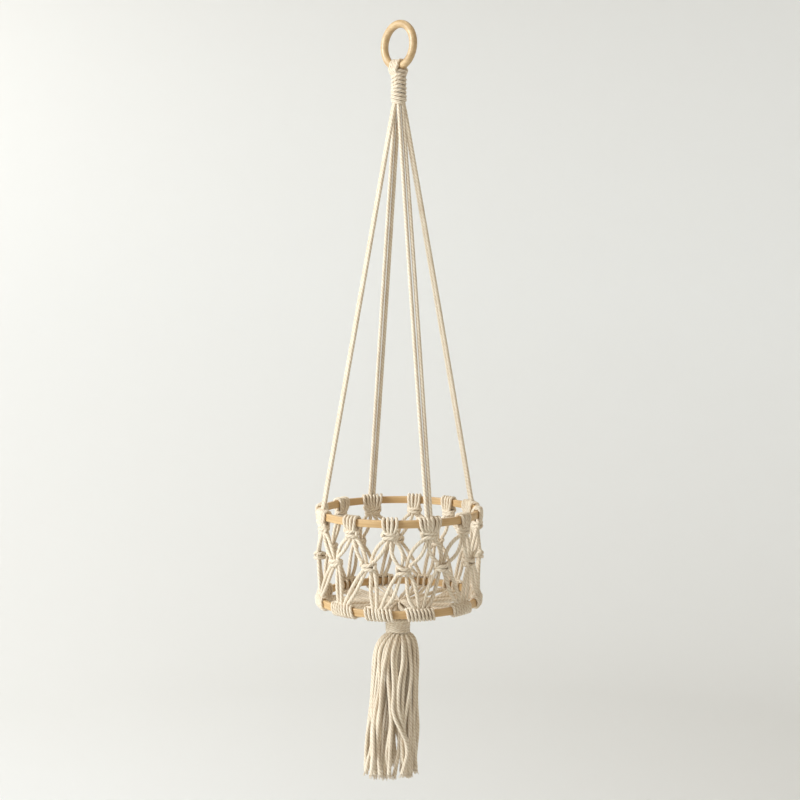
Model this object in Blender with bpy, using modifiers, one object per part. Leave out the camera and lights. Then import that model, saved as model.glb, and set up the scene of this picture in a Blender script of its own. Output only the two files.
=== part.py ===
"""Hanging macrame planter: a wooden ring, hanger cords gathered under it, four legs of two cords,
a knotted basket between two bamboo hoops, and a tassel.

Metres, +Z up. The origin is the inside top of the ring, where a hook carries it. The front is
towards -Y, and angles round the basket are in degrees from the front, growing towards +X.
"""

import math

import bmesh
import bpy
from mathutils import Matrix, Vector

MM = 0.001
GAP = 0.3 * MM  # between pieces that touch on the real object
CORD = 4.8 * MM  # thickness of every hanger and net cord
WRAP_CORD = 4.2 * MM  # the same cord where it is pulled tight round something

# Wooden ring
RING_OUTSIDE = 60 * MM
RING_THICK = 9.5 * MM
RING_TURN = -47  # degrees about Z: the ring's right side is nearer than its left
RING_RADIUS = (RING_OUTSIDE - RING_THICK) / 2
RING_CENTRE_Z = -(RING_RADIUS - RING_THICK / 2)
TUBE_CENTRE_Z = RING_CENTRE_Z - RING_RADIUS  # middle of the wood at the ring's lowest place

# Cords folded over the ring, and the gathering wrap under it
LOOP_HALF_WIDTH = 17  # degrees round the ring
LOOP_HALF_ARC = 40  # degrees round the wood, each way from its top
FOOT_INSIDE = 5.7 * MM  # clears the wood when the hanger swings
FOOT_THICK = 3.6 * MM
FOOT_WIDTH = 12 * MM
WRAP_TOP = -53 * MM
WRAP_BOTTOM = -92 * MM
WRAP_RADIUS = 9.5 * MM

# Hoops, both bent from one size of flat strip
HOOP_OUTSIDE = 100 * MM
HOOP_THICK = 5 * MM
HOOP_HEIGHT = 9 * MM
HOOP_CHAMFER = 0.8 * MM
UPPER_Z = -586 * MM
LOWER_Z = -693 * MM
HOOP_MIDDLE = HOOP_OUTSIDE - HOOP_THICK / 2

# Knots: angles round the basket, tied by hand and so not quite even
UPPER_KNOTS = (-69, -34, -6, 21, 52, 81, 111, 139, 168, 201, 229, 260)
MIDDLE_KNOTS = (-50, -21, 3.5, 31, 60, 89, 119, 150, 182, 212, 241, 272)
LOWER_KNOTS = (-75, -42, -13.5, 15, 49, 80, 106, 134, 162, 195, 223, 254)
LEG_KNOTS = {"front_left": 0, "front_right": 3, "back_right": 6, "back_left": 9}
LEG_KNOT_WIDTH = 28 * MM
UPPER_KNOT_WIDTH = 24 * MM
LOWER_KNOT_WIDTH = 33 * MM
SQUARE_KNOT_WIDTH = 16 * MM
SQUARE_KNOT_HEIGHT = 11 * MM
SQUARE_KNOT_THICK = 9 * MM
ARM_END_ROOM = 3.7 * MM  # a net cord slants, so the corner of its cut end reaches past its middle
MIDDLE_Z = (UPPER_Z + LOWER_Z) / 2

# Legs: two cords side by side
LEG_TOP_RADIUS = 6.2 * MM
LEG_TOP_Z = WRAP_BOTTOM - 0.5 * MM
PAIR_OFFSET = 2.55 * MM  # each cord's middle from the middle of its pair
LEG_POINTS = 6

# Base and tassel
BASE_TOP = LOWER_Z - 3 * MM
BASE_THICK = CORD
SPOKE_WIDTH = 4 * CORD
TASSEL_PIVOT_Z = BASE_TOP - 11.5 * MM
TASSEL_ROOT_RADIUS = 6 * MM
NECK_TOP = TASSEL_PIVOT_Z - 9 * MM
NECK_BOTTOM = NECK_TOP - 19.5 * MM
NECK_RADIUS = 15.5 * MM
TASSEL_BOTTOM = -912 * MM
TASSEL_RADIUS = 33.5 * MM

COLOURS = {
    "beech": (0.72, 0.52, 0.32, 1),
    "bamboo": (0.74, 0.56, 0.33, 1),
    "cotton": (0.86, 0.82, 0.74, 1),
}
ROUGHNESS = {"beech": 0.5, "bamboo": 0.45, "cotton": 0.95}


def start_scene():
    """Clear the scene, and make the two collections and the three materials."""
    for obj in list(bpy.data.objects):
        bpy.data.objects.remove(obj)
    for name in ("hanging_macrame_planter", "cutters"):
        bpy.context.scene.collection.children.link(bpy.data.collections.new(name))
    for name, colour in COLOURS.items():
        material = bpy.data.materials.new(name)
        material.use_nodes = True
        shader = material.node_tree.nodes["Principled BSDF"]
        shader.inputs["Base Color"].default_value = colour
        shader.inputs["Roughness"].default_value = ROUGHNESS[name]
        shader.inputs["Metallic"].default_value = 0


def add_object(name, data, material, parent=None):
    obj = bpy.data.objects.new(name, data)
    bpy.data.collections["hanging_macrame_planter"].objects.link(obj)
    data.materials.append(bpy.data.materials[material])
    obj.parent = parent
    if obj.type == "MESH":
        data.shade_smooth()
        data.set_sharp_from_angle(angle=math.radians(35))
    return obj


def as_helper(obj):
    """Move an object to the cutters: it shapes others and is not a piece itself."""
    bpy.data.collections["hanging_macrame_planter"].objects.unlink(obj)
    bpy.data.collections["cutters"].objects.link(obj)
    obj.hide_render = True
    obj.display_type = "WIRE"
    return obj


def add_empty(name, place, turn_z=0.0):
    empty = bpy.data.objects.new(name, None)
    bpy.data.collections["hanging_macrame_planter"].objects.link(empty)
    empty.location = place
    empty.rotation_euler.z = math.radians(turn_z)
    return empty


def combine(obj, other, operation):
    modifier = obj.modifiers.new(other.name, "BOOLEAN")
    modifier.operation = operation
    modifier.object = other


def mesh_from(bm, name):
    bmesh.ops.recalc_face_normals(bm, faces=bm.faces)
    mesh = bpy.data.meshes.new(name)
    bm.to_mesh(mesh)
    bm.free()
    return mesh


def round_the_basket(angle, radius, sideways=0.0, z=0.0):
    """The point at this angle from the front, moved sideways along the tangent."""
    a = math.radians(angle)
    return Vector(
        (
            radius * math.sin(a) + sideways * math.cos(a),
            -radius * math.cos(a) + sideways * math.sin(a),
            z,
        )
    )


def turned(name, profile, material, parent=None, steps=32):
    """A profile of (radius, z) points, top to bottom down its outer side, turned about Z."""
    mesh = bpy.data.meshes.new(name)
    mesh.from_pydata([(r, 0, z) for r, z in profile], [(i, i + 1) for i in range(len(profile) - 1)], [])
    obj = add_object(name, mesh, material, parent)
    screw = obj.modifiers.new("Turn", "SCREW")
    screw.steps = screw.render_steps = steps
    screw.use_merge_vertices = True
    screw.merge_threshold = 0.0001
    screw.use_normal_calculate = True
    return obj


def arc_block(name, outline, first, last, material, steps=4, parent=None):
    """A closed outline of (radius, z) points swept round Z from one angle to the other."""
    bm = bmesh.new()
    corners = [bm.verts.new(round_the_basket(first, r, z=z)) for r, z in outline]
    face = bm.faces.new(corners)
    bmesh.ops.spin(
        bm,
        geom=[face, *face.edges, *face.verts],
        cent=(0, 0, 0),
        axis=(0, 0, 1),
        angle=math.radians(last - first),
        steps=steps,
    )
    return add_object(name, mesh_from(bm, name), material, parent)


def flat_bar(name, start, end, wide, thick, material):
    """A round-edged band of two cords side by side, from start to end."""
    along = end - start
    bm = bmesh.new()
    bmesh.ops.create_cone(
        bm, cap_ends=True, segments=8, radius1=0.5, radius2=0.5, depth=along.length
    )
    outwards = Vector((start.x + end.x, start.y + end.y, 0)).normalized()
    sideways = outwards.cross(along).normalized()
    bmesh.ops.scale(bm, vec=(wide, thick, 1), verts=bm.verts)
    axes = Matrix((sideways, along.normalized().cross(sideways), along.normalized())).transposed()
    bm.transform(Matrix.Translation((start + end) / 2) @ axes.to_4x4())
    return add_object(name, mesh_from(bm, name), material)


def add_wooden_ring(ring_frame):
    bpy.ops.mesh.primitive_torus_add(
        major_radius=RING_RADIUS,
        minor_radius=RING_THICK / 2,
        major_segments=48,
        minor_segments=12,
    )
    torus = bpy.context.object
    mesh = torus.data
    bpy.data.objects.remove(torus)
    ring = add_object("wooden_ring", mesh, "beech", ring_frame)
    ring.rotation_euler.x = math.radians(90)


def add_hanger_loop(ring_frame):
    """The cords where they bend over the ring's lowest wood: a saddle turned about the ring's axis."""
    inside = RING_THICK / 2 + GAP
    arc = [math.radians(LOOP_HALF_ARC * (i / 4 - 1)) for i in range(9)]
    outline = [(r, a) for r, order in ((inside, arc), (inside + CORD, arc[::-1])) for a in order]
    points = [(RING_RADIUS - r * math.cos(a), r * math.sin(a)) for r, a in outline]
    loop = arc_block("hanger_loop", points, -LOOP_HALF_WIDTH, LOOP_HALF_WIDTH, "cotton", 6, ring_frame)
    loop.rotation_euler.x = math.radians(90)


def add_top_wrap(pivot):
    """The gathering wrap, with the cords' two flat feet that come down each side of the ring."""
    corner = 1.5 * MM
    top, bottom = WRAP_TOP - TUBE_CENTRE_Z, WRAP_BOTTOM - TUBE_CENTRE_Z
    wrap = turned(
        "top_wrap",
        [
            (0, top),
            (WRAP_RADIUS - corner, top),
            (WRAP_RADIUS, top - corner),
            (WRAP_RADIUS, bottom + corner),
            (WRAP_RADIUS - corner, bottom),
            (0, bottom),
        ],
        "cotton",
        pivot,
    )
    for side, name in ((1, "back_foot"), (-1, "front_foot")):
        bm = bmesh.new()
        bmesh.ops.create_cube(bm, size=1)
        bmesh.ops.scale(bm, vec=(FOOT_WIDTH, FOOT_THICK, -top + 2 * corner), verts=bm.verts)
        place = (0, side * (FOOT_INSIDE + FOOT_THICK / 2), top / 2 - corner)
        bmesh.ops.translate(bm, vec=place, verts=bm.verts)
        foot = as_helper(add_object(name, mesh_from(bm, name), "cotton", pivot))
        combine(wrap, foot, "UNION")


def add_legs():
    """Each leg is two cords, straight from under the wrap to the top of its knot on the upper hoop."""
    leg_end_z = UPPER_Z + HOOP_HEIGHT / 2 + WRAP_CORD + 4 * GAP
    for leg, knot in LEG_KNOTS.items():
        for number, sideways in ((1, -PAIR_OFFSET), (2, PAIR_OFFSET)):
            name = f"leg_{leg}_{number}"
            start = round_the_basket(UPPER_KNOTS[knot], LEG_TOP_RADIUS, sideways, LEG_TOP_Z)
            end = round_the_basket(UPPER_KNOTS[knot], HOOP_MIDDLE, sideways, leg_end_z)
            curve = bpy.data.curves.new(name, "CURVE")
            curve.dimensions = "3D"
            curve.bevel_depth = CORD / 2
            curve.bevel_resolution = 2
            curve.use_fill_caps = True
            spline = curve.splines.new("POLY")
            spline.points.add(LEG_POINTS - 1)
            for i, point in enumerate(spline.points):
                point.co = (*start.lerp(end, i / (LEG_POINTS - 1)), 1)
            add_object(name, curve, "cotton")


def strip_section(grow=0.0):
    """The hoop strip's cut end, with small chamfers, as (radius, z) points round Z = 0."""
    low, high = HOOP_OUTSIDE - HOOP_THICK - grow, HOOP_OUTSIDE + grow
    top = HOOP_HEIGHT / 2 + grow
    c = HOOP_CHAMFER
    return [
        (high - c, top),
        (high, top - c),
        (high, c - top),
        (high - c, -top),
        (low + c, -top),
        (low, c - top),
        (low, top - c),
        (low + c, top),
    ]


def add_hoop(name, z, grow=0.0):
    section = [(r, z + dz) for r, dz in strip_section(grow)]
    return turned(name, [*section, section[0]], "bamboo", steps=64)


def sleeve_section(z):
    """The outside of the cord loops round a hoop."""
    low = HOOP_OUTSIDE - HOOP_THICK - GAP - WRAP_CORD
    high = HOOP_OUTSIDE + GAP + WRAP_CORD
    top = HOOP_HEIGHT / 2 + GAP + WRAP_CORD
    c = WRAP_CORD / 2
    return [
        (high - c, z + top),
        (high, z + top - c),
        (high, z - top + c),
        (high - c, z - top),
        (low + c, z - top),
        (low, z - top + c),
        (low, z + top - c),
        (low + c, z + top),
    ]


def square_knot(name, angle, top_z, radius=HOOP_MIDDLE):
    half = math.degrees(SQUARE_KNOT_WIDTH / 2 / radius)
    near, far = radius - SQUARE_KNOT_THICK / 2, radius + SQUARE_KNOT_THICK / 2
    low_z = top_z - SQUARE_KNOT_HEIGHT
    outline = [(far, top_z), (far, low_z), (near, low_z), (near, top_z)]
    return arc_block(name, outline, angle - half, angle + half, "cotton", 2)


def knot_bottom_z():
    """Lower end of the square knots that hang under the upper hoop."""
    return UPPER_Z - HOOP_HEIGHT / 2 - GAP - WRAP_CORD - SQUARE_KNOT_HEIGHT + MM


def add_upper_knots(channel):
    """Loops folded over the upper hoop, with a square knot hanging under them."""
    for i, angle in enumerate(UPPER_KNOTS):
        width = LEG_KNOT_WIDTH if i in LEG_KNOTS.values() else UPPER_KNOT_WIDTH
        half = math.degrees(width / 2 / HOOP_OUTSIDE)
        name = f"upper_knot_{i + 1:02d}"
        knot = arc_block(name, sleeve_section(UPPER_Z), angle - half, angle + half, "cotton")
        combine(knot, channel, "DIFFERENCE")
        under = square_knot(f"{name}_square", angle, knot_bottom_z() + SQUARE_KNOT_HEIGHT)
        combine(knot, as_helper(under), "UNION")


def add_lower_knots(channel):
    """Double half hitches side by side round the lower hoop."""
    half = math.degrees(LOWER_KNOT_WIDTH / 2 / HOOP_OUTSIDE)
    for i, angle in enumerate(LOWER_KNOTS):
        name = f"lower_knot_{i + 1:02d}"
        knot = arc_block(name, sleeve_section(LOWER_Z), angle - half, angle + half, "cotton")
        combine(knot, channel, "DIFFERENCE")


def add_net_panels():
    """Between two upper knots a pair of cords from each meet in a square knot and part again."""
    top_z = knot_bottom_z() - ARM_END_ROOM
    bottom_z = LOWER_Z + HOOP_HEIGHT / 2 + GAP + WRAP_CORD + ARM_END_ROOM
    count = len(UPPER_KNOTS)
    for i, middle in enumerate(MIDDLE_KNOTS):
        name = f"net_panel_{i + 1:02d}"
        panel = square_knot(name, middle, MIDDLE_Z + SQUARE_KNOT_HEIGHT / 2)
        after = (i + 1) % count
        arms = (
            ("upper_left", UPPER_KNOTS[i], 1, top_z),
            ("upper_right", UPPER_KNOTS[after], -1, top_z),
            ("lower_left", LOWER_KNOTS[i], 1, bottom_z),
            ("lower_right", LOWER_KNOTS[after], -1, bottom_z),
        )
        for arm, angle, side, z in arms:
            end = round_the_basket(angle, HOOP_MIDDLE, side * CORD * 1.1, z)
            start = round_the_basket(middle, HOOP_MIDDLE, -side * CORD * 0.8, MIDDLE_Z)
            bar = flat_bar(f"{name}_{arm}", start, end, 2 * CORD, CORD, "cotton")
            combine(panel, as_helper(bar), "UNION")


def add_base_web():
    """The cords' way in to the middle: twelve bands of four cords that merge in a flat disc."""
    outside = HOOP_OUTSIDE - HOOP_THICK - 2 * GAP - WRAP_CORD
    half = SPOKE_WIDTH / 2
    reach = math.sqrt(outside**2 - half**2)
    outline = []
    for i, angle in enumerate(LOWER_KNOTS):
        following = LOWER_KNOTS[(i + 1) % len(LOWER_KNOTS)] + (360 if i == len(LOWER_KNOTS) - 1 else 0)
        fork = half / math.sin(math.radians(following - angle) / 2)
        outline += [
            round_the_basket(angle, reach, -half),
            round_the_basket(angle, reach, half),
            round_the_basket((angle + following) / 2, fork),
        ]
    curve = bpy.data.curves.new("base_web", "CURVE")
    curve.dimensions = "2D"
    curve.fill_mode = "BOTH"
    curve.extrude = BASE_THICK / 2
    spline = curve.splines.new("POLY")
    spline.use_cyclic_u = True
    spline.points.add(len(outline) - 1)
    for point, place in zip(spline.points, outline):
        point.co = (*place, 1)
    base = add_object("base_web", curve, "cotton")
    base.location.z = BASE_TOP - BASE_THICK / 2


def add_tassel(pivot):
    """A small gathered root under the base, the wrapped neck, and the hanging skirt of cord ends."""
    bm = bmesh.new()
    bmesh.ops.create_uvsphere(bm, u_segments=16, v_segments=10, radius=TASSEL_ROOT_RADIUS)
    add_object("tassel_root", mesh_from(bm, "tassel_root"), "cotton", pivot)
    corner = 2 * MM
    neck_top, neck_bottom = NECK_TOP - TASSEL_PIVOT_Z, NECK_BOTTOM - TASSEL_PIVOT_Z
    turned(
        "tassel_neck",
        [
            (0, neck_top),
            (NECK_RADIUS - corner, neck_top),
            (NECK_RADIUS, neck_top - corner),
            (NECK_RADIUS, neck_bottom + corner),
            (NECK_RADIUS - corner, neck_bottom),
            (0, neck_bottom),
        ],
        "cotton",
        pivot,
    )
    top, bottom = neck_bottom - GAP, TASSEL_BOTTOM - TASSEL_PIVOT_Z
    turned(
        "tassel_skirt",
        [
            (0, top),
            (0.45 * TASSEL_RADIUS, top),
            (0.68 * TASSEL_RADIUS, top - 10 * MM),
            (0.78 * TASSEL_RADIUS, top - 28 * MM),
            (0.9 * TASSEL_RADIUS, (top + bottom) / 2),
            (TASSEL_RADIUS, bottom + 20 * MM),
            (0.97 * TASSEL_RADIUS, bottom),
            (0, bottom),
        ],
        "cotton",
        pivot,
    )


def build():
    start_scene()
    ring_frame = add_empty("ring_axis", (0, 0, RING_CENTRE_Z), RING_TURN)
    add_wooden_ring(ring_frame)
    add_hanger_loop(ring_frame)
    add_top_wrap(add_empty("hanger_pivot", (0, 0, TUBE_CENTRE_Z), RING_TURN))
    add_legs()
    add_hoop("upper_hoop", UPPER_Z)
    add_upper_knots(as_helper(add_hoop("upper_channel", UPPER_Z, GAP)))
    add_net_panels()
    add_hoop("lower_hoop", LOWER_Z)
    add_lower_knots(as_helper(add_hoop("lower_channel", LOWER_Z, GAP)))
    add_base_web()
    add_tassel(add_empty("tassel_pivot", (0, 0, TASSEL_PIVOT_Z)))


build()
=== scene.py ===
# Hanging macrame planter: the looks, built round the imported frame.
# Lengths are in metres. Angles round the basket are in degrees from the front, growing towards +X.
import math

import bpy
import numpy as np
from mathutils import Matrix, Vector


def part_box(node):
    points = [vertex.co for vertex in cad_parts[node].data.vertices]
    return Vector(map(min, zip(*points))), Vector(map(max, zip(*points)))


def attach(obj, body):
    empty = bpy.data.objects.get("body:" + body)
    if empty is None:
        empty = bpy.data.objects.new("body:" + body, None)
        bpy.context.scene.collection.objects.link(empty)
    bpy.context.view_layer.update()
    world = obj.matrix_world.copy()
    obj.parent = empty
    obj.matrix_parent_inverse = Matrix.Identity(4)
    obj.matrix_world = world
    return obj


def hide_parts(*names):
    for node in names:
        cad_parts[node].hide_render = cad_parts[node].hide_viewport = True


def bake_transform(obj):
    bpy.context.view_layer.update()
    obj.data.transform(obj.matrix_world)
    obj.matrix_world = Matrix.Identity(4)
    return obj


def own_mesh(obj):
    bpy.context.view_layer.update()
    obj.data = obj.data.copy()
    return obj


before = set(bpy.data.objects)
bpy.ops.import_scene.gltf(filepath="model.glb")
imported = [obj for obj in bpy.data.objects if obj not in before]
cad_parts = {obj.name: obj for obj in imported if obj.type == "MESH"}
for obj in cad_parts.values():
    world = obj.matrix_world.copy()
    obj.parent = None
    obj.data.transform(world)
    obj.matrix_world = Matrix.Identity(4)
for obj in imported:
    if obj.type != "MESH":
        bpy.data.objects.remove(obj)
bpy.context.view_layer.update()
mm = 0.001
dice = np.random.default_rng(29)
print("frame loaded:", len(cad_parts), "nodes")


# the cord that everything is tied from

cord = {
    "radius": 2.4 * mm,  # to the crown of a ply
    "tight": 2.15 * mm,  # the same cord pulled hard round something
    "hitched": 1.84 * mm,  # and pulled hardest, round the lower hoop
    "lay": 14.5 * mm,  # length of one full turn of the three plies
    "groove": 0.19,  # depth of the valley between two plies, as a share of the radius
    "sides": 15,  # corners in one section
    "step": 1.1 * mm,  # between two sections
    "fray": 12 * mm,  # how far up a cut end the plies have opened
    "puff": 0.3,  # how much thicker it is there
}


def unit(vectors):
    return vectors / np.linalg.norm(vectors, axis=-1, keepdims=True)


def smoothstep(low, high, x):
    t = np.clip((x - low) / (high - low), 0, 1)
    return t * t * (3 - 2 * t)


def evenly(lines, step=cord["step"]):
    # Points at equal distances along each polyline, the same number on every line.
    hops = np.linalg.norm(np.diff(lines, axis=1), axis=2)
    walked = np.concatenate([np.zeros((len(lines), 1)), np.cumsum(hops, axis=1)], axis=1)
    share = np.linspace(0, 1, max(int(walked[:, -1].max() / step) + 1, 4))
    spaced = [[np.interp(share * w[-1], w, axis) for axis in line.T] for line, w in zip(lines, walked)]
    return np.array(spaced).transpose(0, 2, 1)


def smoothLine(points):
    # Catmull-Rom: each stretch is the cubic through its two ends whose slope at each end is half
    # the chord between that end's two neighbours.
    points = np.asarray(points, float)
    before = 2 * points[:, :1] - points[:, 1:2]
    after = 2 * points[:, -1:] - points[:, -2:-1]
    p = np.concatenate([before, points, after], axis=1)
    stretches = points.shape[1] - 1
    a, b, c, d = (p[:, i : i + stretches, None] for i in range(4))
    t = np.linspace(0, 1, 12, endpoint=False)[:, None]
    fine = b + 0.5 * ((c - a) * t + (2 * a - 5 * b + 4 * c - d) * t**2 + (3 * b - a - 3 * c + d) * t**3)
    fine = fine.reshape(len(points), -1, 3)
    return evenly(np.concatenate([fine, points[:, -1:]], axis=1))


def sidesAlong(lines, tangents):
    # A direction across each line that turns as little as it can: reflected in the plane between
    # two points, then in the plane between their tangents.
    across = np.empty_like(lines)
    least = np.eye(3)[np.abs(tangents[:, 0]).argmin(axis=1)]
    across[:, 0] = unit(np.cross(tangents[:, 0], least))
    for i in range(lines.shape[1] - 1):
        hop = unit(lines[:, i + 1] - lines[:, i])
        side = across[:, i] - 2 * hop * (hop * across[:, i]).sum(1, keepdims=True)
        ahead = tangents[:, i] - 2 * hop * (hop * tangents[:, i]).sum(1, keepdims=True)
        turn = tangents[:, i + 1] - ahead
        size = np.maximum((turn * turn).sum(1, keepdims=True), 1e-16)
        across[:, i + 1] = side - turn * (2 * (turn * side).sum(1, keepdims=True) / size)
    return unit(across)


def cordSurface(lines, radius=cord["radius"], phase=0.0, fray=False, sides=cord["sides"]):
    # Three plies twisted together. At angle a round the middle line the surface is
    # radius * (1 - groove * (1 - |sin 1.5a| ^ 0.6)) away, and the section turns once per lay.
    # Lines are (cords, points, 3). Gives corners, quads, triangles and a UV for each face corner:
    # U goes round the cord with the plies, from groove to groove, and V counts turns of the lay.
    cords, count = lines.shape[:2]
    tangents = unit(np.gradient(lines, axis=1))
    across = sidesAlong(lines, tangents)
    other = np.cross(tangents, across)
    hops = np.linalg.norm(np.diff(lines, axis=1), axis=2)
    walked = np.concatenate([np.zeros((cords, 1)), np.cumsum(hops, axis=1)], axis=1)
    radius = np.broadcast_to(radius, (cords, count)).copy()
    groove = np.full((cords, count), cord["groove"])
    if fray:
        opened = smoothstep(cord["fray"], 0, walked[:, -1:] - walked)
        radius *= 1 + cord["puff"] * opened
        groove += 0.2 * opened
    angle = 2 * np.pi * np.arange(sides) / sides
    valley = 1 - np.abs(np.sin(1.5 * angle)) ** 0.6
    reach = radius[..., None] * (1 - groove[..., None] * valley)
    turned = angle - 2 * np.pi * walked[..., None] / cord["lay"] + np.reshape(phase, (-1, 1, 1))
    ring = across[:, :, None] * np.cos(turned)[..., None] + other[:, :, None] * np.sin(turned)[..., None]
    skin = lines[:, :, None] + ring * reach[..., None]
    ends = np.stack([lines[:, 0], lines[:, -1]], axis=1)
    corners = np.concatenate([skin.reshape(-1, 3), ends.reshape(-1, 3)])
    index = np.arange(cords * count * sides).reshape(cords, count, sides)
    index = np.concatenate([index, index[..., :1]], axis=2)
    quads = np.stack([index[:, :-1, :-1], index[:, :-1, 1:], index[:, 1:, 1:], index[:, 1:, :-1]], axis=-1)
    cap = cords * count * sides + np.arange(2 * cords).reshape(cords, 2)
    first = np.broadcast_to(cap[:, :1], (cords, sides))
    last = np.broadcast_to(cap[:, 1:], (cords, sides))
    shut = np.stack([first, index[:, 0, 1:], index[:, 0, :-1]], axis=-1)
    close = np.stack([last, index[:, -1, :-1], index[:, -1, 1:]], axis=-1)
    u = np.broadcast_to(np.arange(sides + 1) / sides, index.shape)
    v = np.broadcast_to((walked / cord["lay"])[..., None], index.shape)
    uv = np.stack([u, v], axis=-1)
    quadUv = np.stack([uv[:, :-1, :-1], uv[:, :-1, 1:], uv[:, 1:, 1:], uv[:, 1:, :-1]], axis=3)
    middle = np.full((cords, sides, 2), 0.5)
    capUv = [np.stack([middle, uv[:, 0, 1:], uv[:, 0, :-1]], axis=2)]
    capUv.append(np.stack([middle, uv[:, -1, :-1], uv[:, -1, 1:]], axis=2))
    triangles = np.concatenate([shut.reshape(-1, 3), close.reshape(-1, 3)])
    triangleUv = np.concatenate([part.reshape(-1, 3, 2) for part in capUv])
    return corners, quads.reshape(-1, 4), triangles, quadUv.reshape(-1, 4, 2), triangleUv


def bundle(surfaces):
    # Several surfaces as one.
    shift = np.cumsum([0] + [len(s[0]) for s in surfaces])
    corners, quadUv, triangleUv = (np.concatenate([s[part] for s in surfaces]) for part in (0, 3, 4))
    quads, triangles = (np.concatenate([s[part] + n for s, n in zip(surfaces, shift)]) for part in (1, 2))
    return corners, quads, triangles, quadUv, triangleUv


def addPiece(name, surface, material):
    corners, quads, triangles, quadUv, triangleUv = surface
    mesh = bpy.data.meshes.new(name)
    mesh.vertices.add(len(corners))
    mesh.vertices.foreach_set("co", corners.astype(np.float32).ravel())
    mesh.loops.add(4 * len(quads) + 3 * len(triangles))
    index = np.concatenate([quads.ravel(), triangles.ravel()])
    mesh.loops.foreach_set("vertex_index", index.astype(np.int32))
    mesh.polygons.add(len(quads) + len(triangles))
    starts = [4 * np.arange(len(quads)), 4 * len(quads) + 3 * np.arange(len(triangles))]
    mesh.polygons.foreach_set("loop_start", np.concatenate(starts).astype(np.int32))
    mesh.update(calc_edges=True)
    layer = mesh.uv_layers.new(name="UVMap")
    layer.data.foreach_set("uv", np.concatenate([quadUv.ravel(), triangleUv.ravel()]).astype(np.float32))
    mesh.shade_smooth()
    mesh.materials.append(material)
    piece = bpy.data.objects.new(name, mesh)
    bpy.context.scene.collection.objects.link(piece)
    return piece


def addCords(name, surfaces):
    return addPiece(name, bundle(surfaces), cotton)


def lengthOf(path):
    return float(np.linalg.norm(np.diff(path, axis=0), axis=1).sum())


def gridSurface(points, around, along):
    # A closed grid of points, (rows, columns, 3), that joins up both ways.
    rows, columns = points.shape[:2]
    index = np.arange(rows * columns).reshape(rows, columns)
    index = np.pad(index, ((0, 1), (0, 1)), mode="wrap")
    quads = np.stack([index[:-1, :-1], index[:-1, 1:], index[1:, 1:], index[1:, :-1]], axis=-1)
    u, v = np.meshgrid(np.arange(columns + 1) / columns * around, np.arange(rows + 1) / rows * along)
    uv = np.stack([u, v], axis=-1)
    quadUv = np.stack([uv[:-1, :-1], uv[:-1, 1:], uv[1:, 1:], uv[1:, :-1]], axis=2)
    noTriangles, noUv = np.zeros((0, 3), int), np.zeros((0, 3, 2))
    return points.reshape(-1, 3), quads.reshape(-1, 4), noTriangles, quadUv.reshape(-1, 4, 2), noUv


# materials

# colours are linear
cottonLook = {
    "crown": (0.88, 0.79, 0.635, 1),  # unbleached cotton
    "shade": (0.44, 0.265, 0.115, 1),  # darker cotton for the fibres and patches, and painted shade down in the grooves
    "fibreTone": 0.30,  # how much of the shade colour the fibres bring, then patches and grooves: the cotton's own darker tone in fibres and patches, painted shade in the grooves
    "patchTone": 0.16,
    # painted shade in the grooves between the plies
    "paintedGrooveShade": 0.40,
    "fibre": 34,  # fibre lines round the cord
    "yarn": 13,  # coarser lines round the cord
    "roughness": 0.92,
    "bump": 0.22 * mm,
}
beechLook = {
    "pale": (0.66, 0.465, 0.25, 1),
    "dark": (0.45, 0.285, 0.125, 1),
    "pore": (0.31, 0.18, 0.07, 1),
    "poreTone": 0.55,  # how much of the pore colour a pore takes
    "grainLean": -24,  # degrees from level
    "roughness": 0.48,
    "bump": 0.08 * mm,
}
bambooLook = {
    "pale": (0.70, 0.475, 0.235, 1),
    "dark": (0.49, 0.29, 0.115, 1),
    "roughness": 0.45,
    "bump": 0.1 * mm,
}


class Nodes:
    # A short way to put nodes into one material.
    def __init__(self, name):
        self.material = bpy.data.materials.new(name)
        self.material.use_nodes = True
        self.tree = self.material.node_tree
        self.shader = self.tree.nodes["Principled BSDF"]

    def add(self, kind, settings=None, **links):
        made = self.tree.nodes.new("ShaderNode" + kind)
        for key, value in (settings or {}).items():
            setattr(made, key, value)
        for key, value in links.items():
            self.link(made, key, value)
        return made

    def link(self, made, key, value):
        # A key names a socket, with _ for a space, or numbers it after the letter i.
        socket = made.inputs[int(key[1:])] if key[1:].isdigit() else made.inputs[key.replace("_", " ")]
        if isinstance(value, bpy.types.NodeSocket):
            self.tree.links.new(value, socket)
        else:
            socket.default_value = value

    def ramp(self, factor, *stops):
        made = self.add("ValToRGB", Fac=factor)
        elements = made.color_ramp.elements
        while len(elements) < len(stops):
            elements.new(0.5)
        for element, (place, colour) in zip(elements, stops):
            element.position, element.color = place, colour
        return made.outputs["Color"]

    def maths(self, operation, *values):
        made = self.add("Math", {"operation": operation}, **{f"i{n}": v for n, v in enumerate(values)})
        return made.outputs[0]

    def weigh(self, *pairs):
        # The sum of values, each times its weight.
        terms = [self.maths("MULTIPLY", value, weight) for value, weight in pairs]
        total = terms[0]
        for term in terms[1:]:
            total = self.maths("ADD", total, term)
        return total

    def stretched(self, vector, *scale):
        # The larger a scale, the finer the pattern on that axis.
        return self.add("Mapping", Vector=vector, Scale=scale).outputs["Vector"]

    def noise(self, vector, **settings):
        return self.add("TexNoise", Vector=vector, **settings).outputs["Fac"]

    def mix(self, share, first, second):
        return self.add("Mix", {"data_type": "RGBA"}, i0=share, i6=first, i7=second).outputs[2]

    def complete(self, colour, height, strength, distance, **values):
        # Colour, a bump from the height, and plain values, all into the shader.
        bump = self.add("Bump", Height=height, Strength=strength, Distance=distance)
        self.link(self.shader, "Base_Color", colour)
        self.link(self.shader, "Normal", bump.outputs["Normal"])
        for key, value in values.items():
            self.link(self.shader, key, value)
        return self.material


def grey(level):
    return (level, level, level, 1)


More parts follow.
